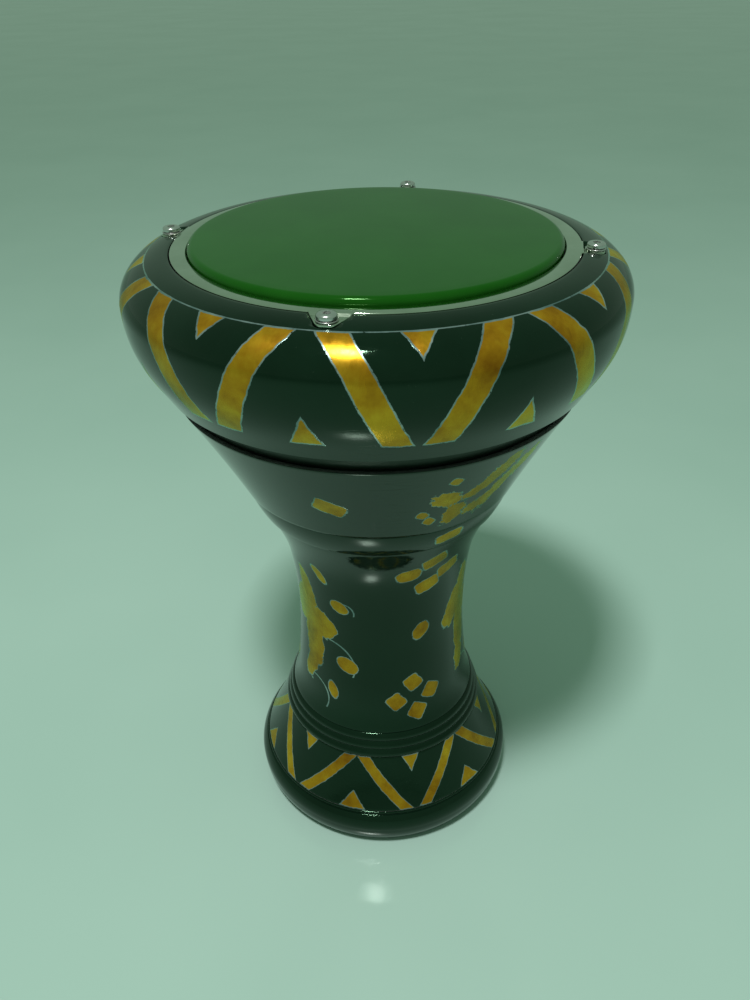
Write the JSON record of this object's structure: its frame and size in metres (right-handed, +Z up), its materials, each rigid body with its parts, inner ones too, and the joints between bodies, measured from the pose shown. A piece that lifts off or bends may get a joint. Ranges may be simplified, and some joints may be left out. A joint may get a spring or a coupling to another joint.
{
  "type": "goblet drum",
  "caption": "Goblet-shaped hand drum with a flared bowl, waisted neck and ridged foot; the head is held by a flat tension ring with eared tuning bolts.",
  "frame": {"origin": "centre of the foot's flat resting ring, on the surface it stands on", "axes": "+Z up along the drum's turning axis from foot to head, +X and +Y each through a tuning bolt"},
  "size_m": [0.3058, 0.3058, 0.4447],
  "materials": {
    "black_lacquer": "gloss",
    "dull_black_band": "satin",
    "cast_edge": "satin",
    "black_head": "gloss",
    "hoop_metal": "satin",
    "polished_ring": "polished",
    "steel_insert": "satin",
    "steel_washer": "satin",
    "bolt_steel": "polished"
  },
  "bodies": {
    "shell": {"foot_rim": "black_lacquer", "foot_flare": "black_lacquer", "foot_collar": "black_lacquer", "neck_tube": "black_lacquer", "neck_bead": "black_lacquer", "shoulder_cone": "black_lacquer", "coupling_ring": "dull_black_band", "bowl": "black_lacquer", "bearing_edge": "cast_edge", "head_film": "black_head", "thread_insert_right": "steel_insert", "thread_insert_back": "steel_insert", "thread_insert_left": "steel_insert", "thread_insert_front": "steel_insert"},
    "tension_ring": {"tension_ring": "polished_ring", "flesh_hoop": "hoop_metal", "washer_right": "steel_washer", "washer_back": "steel_washer", "washer_left": "steel_washer", "washer_front": "steel_washer"},
    "bolt_right": {"tuning_bolt_right": "bolt_steel"},
    "bolt_back": {"tuning_bolt_back": "bolt_steel"},
    "bolt_left": {"tuning_bolt_left": "bolt_steel"},
    "bolt_front": {"tuning_bolt_front": "bolt_steel"}
  },
  "joints": [
    {"name": "ring_travel", "type": "slide", "parent": "shell", "child": "tension_ring", "axis": [0, 0, 1], "range_m": [-0.001, 0.0015]},
    {"name": "bolt_turn_right", "type": "hinge", "parent": "tension_ring", "child": "bolt_right", "pos_m": [0.1285, 0, 0.44], "axis": [0, 0, 1], "range_deg": [-370, 550]},
    {"name": "bolt_turn_back", "type": "hinge", "parent": "tension_ring", "child": "bolt_back", "pos_m": [0, 0.1285, 0.44], "axis": [0, 0, 1], "range_deg": [-370, 550]},
    {"name": "bolt_turn_left", "type": "hinge", "parent": "tension_ring", "child": "bolt_left", "pos_m": [-0.1285, 0, 0.44], "axis": [0, 0, 1], "range_deg": [-370, 550]},
    {"name": "bolt_turn_front", "type": "hinge", "parent": "tension_ring", "child": "bolt_front", "pos_m": [0, -0.1285, 0.44], "axis": [0, 0, 1], "range_deg": [-370, 550]}
  ],
  "couplings": [
    {"joint": "bolt_turn_right", "follows": "ring_travel", "rad_per_m": 6283.2},
    {"joint": "bolt_turn_back", "follows": "ring_travel", "rad_per_m": 6283.2},
    {"joint": "bolt_turn_left", "follows": "ring_travel", "rad_per_m": 6283.2},
    {"joint": "bolt_turn_front", "follows": "ring_travel", "rad_per_m": 6283.2}
  ]
}
